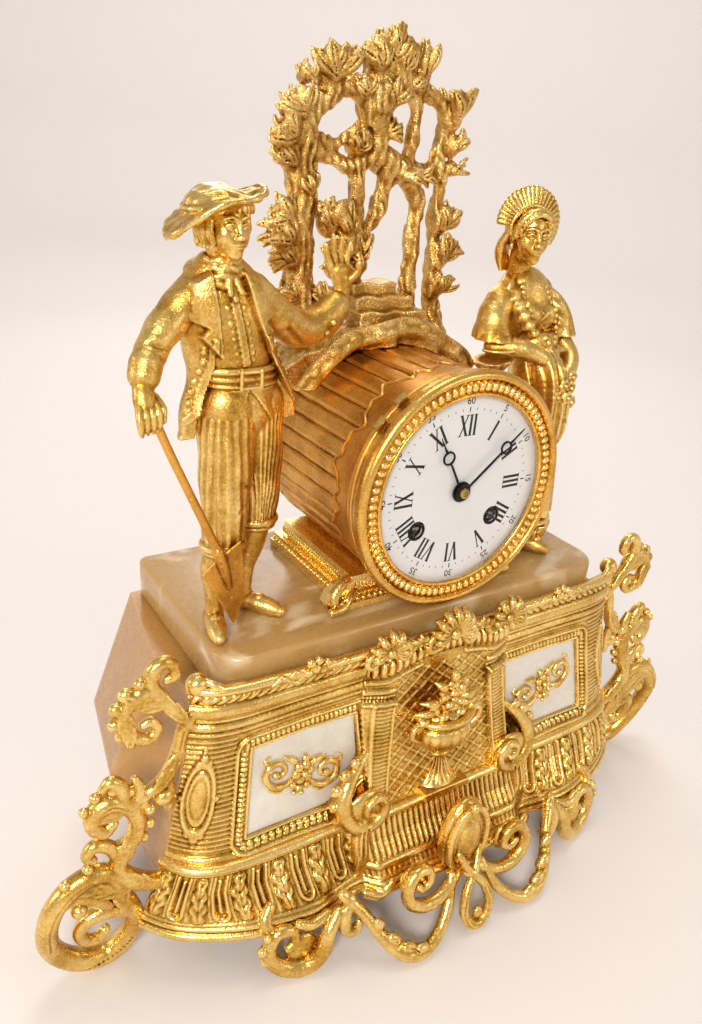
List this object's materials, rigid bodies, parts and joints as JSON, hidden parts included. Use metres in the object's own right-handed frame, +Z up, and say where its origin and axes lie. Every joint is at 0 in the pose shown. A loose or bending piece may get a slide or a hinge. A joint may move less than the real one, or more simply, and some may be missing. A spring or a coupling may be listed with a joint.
{
  "type": "mantel clock",
  "caption": "Gilt figural mantel clock: drum case with hinged bezel between a gardener and a flower gatherer, under a tree arbour, on an alabaster base with cast scroll feet.",
  "frame": {"origin": "middle of the footprint, on the floor plane", "axes": "+Z up, the dial faces -Y, +X to the viewer's right; the case is symmetric about x = 0 but for its figures"},
  "size_m": [0.366, 0.1588, 0.3771],
  "materials": {
    "gilt": "fire-gilt spelter, bright on the high points",
    "gilt_dark": "gilt spelter gone matt and brown",
    "alabaster": "beige alabaster, polished and veined",
    "alabaster_white": "white alabaster inset",
    "enamel": "white vitreous enamel",
    "blued_steel": "blued steel",
    "brass": "polished brass",
    "steel": "bright steel",
    "bell_metal": "silvered bell metal",
    "glass": "clear domed glass",
    "wood": "stained softwood"
  },
  "bodies": {
    "case": {"facade_casting": "gilt", "skirt_moulding": "gilt", "right_alabaster_panel": "alabaster_white", "left_alabaster_panel": "alabaster_white", "right_panel_ornament": "gilt", "left_panel_ornament": "gilt", "urn_ornament": "gilt", "alabaster_top_slab": "alabaster", "right_alabaster_side": "alabaster", "left_alabaster_side": "alabaster", "back_board": "wood", "bottom_board": "wood", "right_scroll_bracket": "gilt", "left_scroll_bracket": "gilt", "right_scroll_foot": "gilt", "left_scroll_foot": "gilt", "front_apron": "gilt", "right_rear_foot": "gilt_dark", "left_rear_foot": "gilt_dark", "drum_plinth": "gilt", "drum_case": "gilt_dark", "dial_ring": "brass", "dial": "enamel", "front_plate": "brass", "back_plate": "brass", "suspension_cock": "brass", "bell": "bell_metal", "bell_stand": "steel", "rear_ring": "brass", "right_case_strap": "steel", "left_case_strap": "steel", "figure_gardener": "gilt", "spade": "gilt_dark", "figure_flower_gatherer": "gilt", "tree_arbour": "gilt"},
    "bezel_door": {"bezel": "gilt", "bezel_glass": "glass"},
    "minute_work": {"minute_hand": "blued_steel", "cannon_pinion": "steel", "hand_collet": "brass"},
    "minute_wheel": {"minute_wheel": "brass"},
    "hour_work": {"hour_wheel": "brass", "hour_hand": "blued_steel"},
    "time_barrel": {"time_barrel": "brass"},
    "time_winding_arbor": {"time_winding_arbor": "steel"},
    "intermediate_wheel": {"intermediate_wheel": "brass"},
    "centre_wheel": {"centre_wheel": "brass"},
    "third_wheel": {"third_wheel": "brass"},
    "escape_wheel": {"escape_wheel": "brass"},
    "anchor": {"anchor": "steel"},
    "pendulum": {"pendulum": "brass"},
    "regulator_arbor": {"regulator_arbor": "steel"},
    "strike_barrel": {"strike_barrel": "brass", "count_wheel": "brass"},
    "strike_winding_arbor": {"strike_winding_arbor": "steel"},
    "pin_wheel": {"pin_wheel": "brass"},
    "warning_wheel": {"warning_wheel": "brass"},
    "fly": {"fly": "brass"},
    "hammer": {"hammer": "steel"},
    "back_door": {"back_door": "brass"}
  },
  "joints": [
    {"name": "minute_hand_turn", "type": "hinge", "parent": "case", "child": "minute_work", "pos_m": [0, -0.02213, 0.204], "axis": [0, 1, 0], "continuous": true},
    {"name": "hour_hand_turn", "type": "hinge", "parent": "case", "child": "hour_work", "pos_m": [0, -0.02213, 0.204], "axis": [0, 1, 0], "continuous": true},
    {"name": "minute_wheel_turn", "type": "hinge", "parent": "case", "child": "minute_wheel", "pos_m": [0, -0.01413, 0.19232], "axis": [0, 1, 0], "continuous": true},
    {"name": "third_wheel_turn", "type": "hinge", "parent": "case", "child": "third_wheel", "pos_m": [-0.01024, 0.00787, 0.21423], "axis": [0, 1, 0], "continuous": true},
    {"name": "centre_wheel_turn", "type": "hinge", "parent": "case", "child": "centre_wheel", "pos_m": [0, 0.00787, 0.204], "axis": [0, 1, 0], "continuous": true},
    {"name": "intermediate_wheel_turn", "type": "hinge", "parent": "case", "child": "intermediate_wheel", "pos_m": [0.01466, 0.00787, 0.20605], "axis": [0, 1, 0], "continuous": true},
    {"name": "time_barrel_turn", "type": "hinge", "parent": "case", "child": "time_barrel", "pos_m": [0.0204, 0.00787, 0.1888], "axis": [0, 1, 0], "continuous": true},
    {"name": "escape_wheel_turn", "type": "hinge", "parent": "case", "child": "escape_wheel", "pos_m": [0, 0.00787, 0.2232], "axis": [0, 1, 0], "continuous": true},
    {"name": "time_winding", "type": "hinge", "parent": "case", "child": "time_winding_arbor", "pos_m": [0.0204, 0.00787, 0.1888], "axis": [0, 1, 0], "continuous": true},
    {"name": "warning_wheel_turn", "type": "hinge", "parent": "case", "child": "warning_wheel", "pos_m": [-0.0266, 0.00787, 0.21896], "axis": [0, 1, 0], "continuous": true},
    {"name": "pin_wheel_turn", "type": "hinge", "parent": "case", "child": "pin_wheel", "pos_m": [-0.0256, 0.00787, 0.20622], "axis": [0, 1, 0], "continuous": true},
    {"name": "strike_barrel_turn", "type": "hinge", "parent": "case", "child": "strike_barrel", "pos_m": [-0.0204, 0.00787, 0.1888], "axis": [0, 1, 0], "continuous": true},
    {"name": "fly_turn", "type": "hinge", "parent": "case", "child": "fly", "pos_m": [-0.01794, 0.00787, 0.22836], "axis": [0, 1, 0], "continuous": true},
    {"name": "strike_winding", "type": "hinge", "parent": "case", "child": "strike_winding_arbor", "pos_m": [-0.0204, 0.00787, 0.1888], "axis": [0, 1, 0], "continuous": true},
    {"name": "pendulum_swing", "type": "hinge", "parent": "case", "child": "pendulum", "pos_m": [0, 0.03387, 0.234], "axis": [0, 1, 0], "range_deg": [-2.5, 2.5]},
    {"name": "anchor_rock", "type": "hinge", "parent": "case", "child": "anchor", "pos_m": [0, 0.01787, 0.234], "axis": [0, 1, 0], "range_deg": [-2.5, 2.5]},
    {"name": "regulator_turn", "type": "hinge", "parent": "case", "child": "regulator_arbor", "pos_m": [0, 0.00787, 0.2472], "axis": [0, 1, 0], "continuous": true},
    {"name": "hammer_swing", "type": "hinge", "parent": "case", "child": "hammer", "pos_m": [-0.0052, 0.03787, 0.171], "axis": [0, 1, 0], "range_deg": [-8, 4]},
    {"name": "bezel_hinge", "type": "hinge", "parent": "case", "child": "bezel_door", "pos_m": [-0.03861, -0.02033, 0.24261], "axis": [-0.7071, 0, -0.7071], "range_deg": [0, 110]},
    {"name": "back_door_hinge", "type": "hinge", "parent": "case", "child": "back_door", "pos_m": [-0.05, 0.06427, 0.204], "axis": [0, 0, 1], "range_deg": [0, 110]}
  ],
  "couplings": [
    {"joint": "minute_wheel_turn", "follows": "minute_hand_turn", "ratio": -0.33333},
    {"joint": "hour_hand_turn", "follows": "minute_hand_turn", "ratio": 0.083333},
    {"joint": "centre_wheel_turn", "follows": "third_wheel_turn", "ratio": -0.083333},
    {"joint": "intermediate_wheel_turn", "follows": "third_wheel_turn", "ratio": 0.010417},
    {"joint": "time_barrel_turn", "follows": "third_wheel_turn", "ratio": -0.0013021},
    {"joint": "escape_wheel_turn", "follows": "third_wheel_turn", "ratio": -12},
    {"joint": "pin_wheel_turn", "follows": "warning_wheel_turn", "ratio": -0.125},
    {"joint": "strike_barrel_turn", "follows": "warning_wheel_turn", "ratio": 0.015625},
    {"joint": "fly_turn", "follows": "warning_wheel_turn", "ratio": -8},
    {"joint": "anchor_rock", "follows": "pendulum_swing", "ratio": 1}
  ]
}
